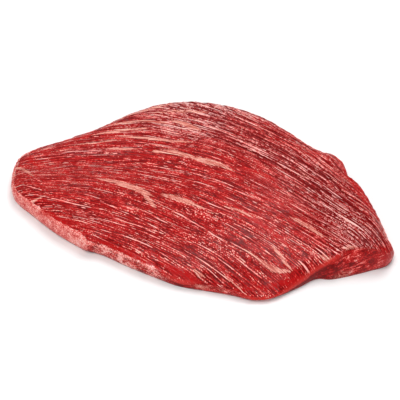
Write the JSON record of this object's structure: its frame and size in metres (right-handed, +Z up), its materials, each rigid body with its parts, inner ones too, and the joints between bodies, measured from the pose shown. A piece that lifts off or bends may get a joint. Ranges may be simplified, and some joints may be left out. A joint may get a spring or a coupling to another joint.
{
  "type": "beef flank steak",
  "caption": "Raw beef flank steak: a flat, leaf-shaped cut with coarse long grain, fine marbling, a thin tongue and a thick lobe at one end.",
  "frame": {"origin": "middle of the box round the steak in X and Y, on the plane its underside rests on", "axes": "+X along the steak's length towards its thick lobe, +Y across it towards its broad back, +Z up through its thickness"},
  "size_m": [0.304, 0.1866, 0.0249],
  "materials": {
    "meat": "moist raw beef: deep red muscle with pale fat flecks and a thin pale film on the edge"
  },
  "bodies": {
    "root": {"steak": "meat"}
  },
  "joints": []
}
